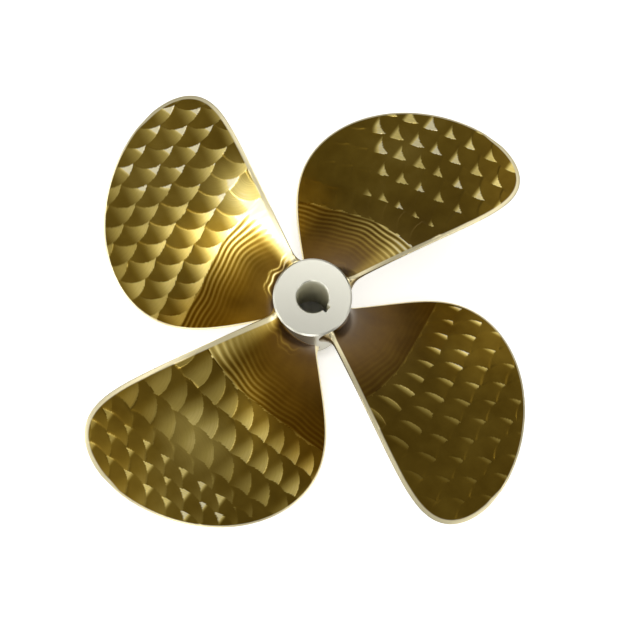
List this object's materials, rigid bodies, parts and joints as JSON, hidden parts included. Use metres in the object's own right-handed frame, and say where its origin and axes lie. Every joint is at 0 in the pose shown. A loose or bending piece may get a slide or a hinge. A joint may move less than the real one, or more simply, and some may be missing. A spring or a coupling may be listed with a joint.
{
  "type": "ship propeller",
  "caption": "Fixed-pitch bronze ship propeller cast in one piece, with skewed blades on a hub with a tapered, keyed bore. Left-handed seen from aft.",
  "frame": {"origin": "centre of the hub's forward face, on which the propeller stands", "axes": "+Z along the shaft's axis, pointing aft, so the pressure faces look up; +X through the keyway and the reference line of the first blade"},
  "size_m": [1.195, 1.195, 0.2957],
  "materials": {
    "bronze": "cast manganese bronze, disc-ground in overlapping passes, hub faces turned bright"
  },
  "bodies": {
    "root": {"propeller": "bronze"}
  },
  "joints": []
}
